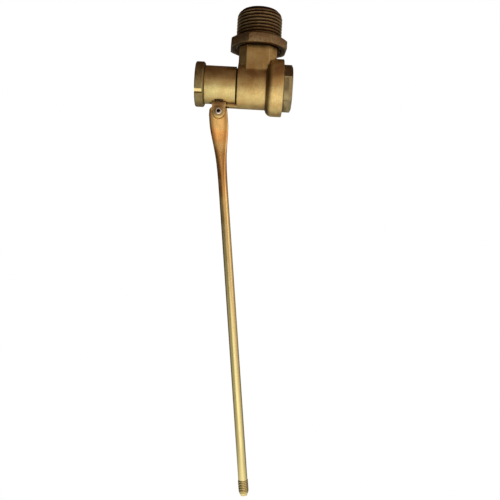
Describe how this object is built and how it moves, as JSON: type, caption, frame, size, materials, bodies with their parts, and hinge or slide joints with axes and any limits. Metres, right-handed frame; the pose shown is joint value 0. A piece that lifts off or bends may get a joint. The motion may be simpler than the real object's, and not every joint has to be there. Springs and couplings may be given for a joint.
{
  "type": "float valve",
  "caption": "Brass float valve: threaded inlet with an octagonal backnut, tee body with hexagon plug and slotted outlet ring, and a long hanging lever that works an inner plunger.",
  "frame": {"origin": "centre of the inlet's open end face, on the thread's axis", "axes": "+Z out of the inlet along the thread, +X along the body from the slotted end ring towards the hexagon plug, +Y away from the side that the lever's pin is seen from"},
  "size_m": [0.0706, 0.0416, 0.3563],
  "materials": {
    "cast_brass": "linished cast brass, fine scratches",
    "dark_brass": "tarnished, as cast",
    "turned_brass": "fine turned brass",
    "lever_brass": "drawn brass, polished along its length",
    "bright_steel": "bright rolled steel",
    "black_rubber": "moulded rubber",
    "fibre": "pressed red fibre"
  },
  "bodies": {
    "casting": {"valve_body": "cast_brass", "outlet_barrel": "turned_brass", "end_ring": "turned_brass", "hex_plug": "cast_brass", "plug_gasket": "fibre", "seat_ring": "turned_brass", "seat_gasket": "fibre", "pivot_pin": "bright_steel"},
    "lever": {"float_lever": "lever_brass"},
    "plunger": {"plunger_stem": "turned_brass", "winged_guide": "turned_brass", "guide_lock_nut": "turned_brass", "retaining_nut": "turned_brass", "retaining_washer": "turned_brass", "disc_holder": "turned_brass", "seat_washer": "black_rubber"},
    "nut": {"backnut": "dark_brass"}
  },
  "joints": [
    {"name": "lever_pivot", "type": "hinge", "parent": "casting", "child": "lever", "pos_m": [-0.02675, 0, -0.0746], "axis": [0, 1, 0], "range_deg": [0, 35]},
    {"name": "plunger_slide", "type": "slide", "parent": "casting", "child": "plunger", "axis": [1, 0, 0], "range_m": [0, 0.0079]},
    {"name": "backnut_spin", "type": "hinge", "parent": "casting", "child": "nut", "pos_m": [0, 0, -0.0241], "axis": [0, 0, 1], "continuous": true}
  ],
  "couplings": [
    {"joint": "plunger_slide", "follows": "lever_pivot", "m_per_rad": 0.0128}
  ]
}
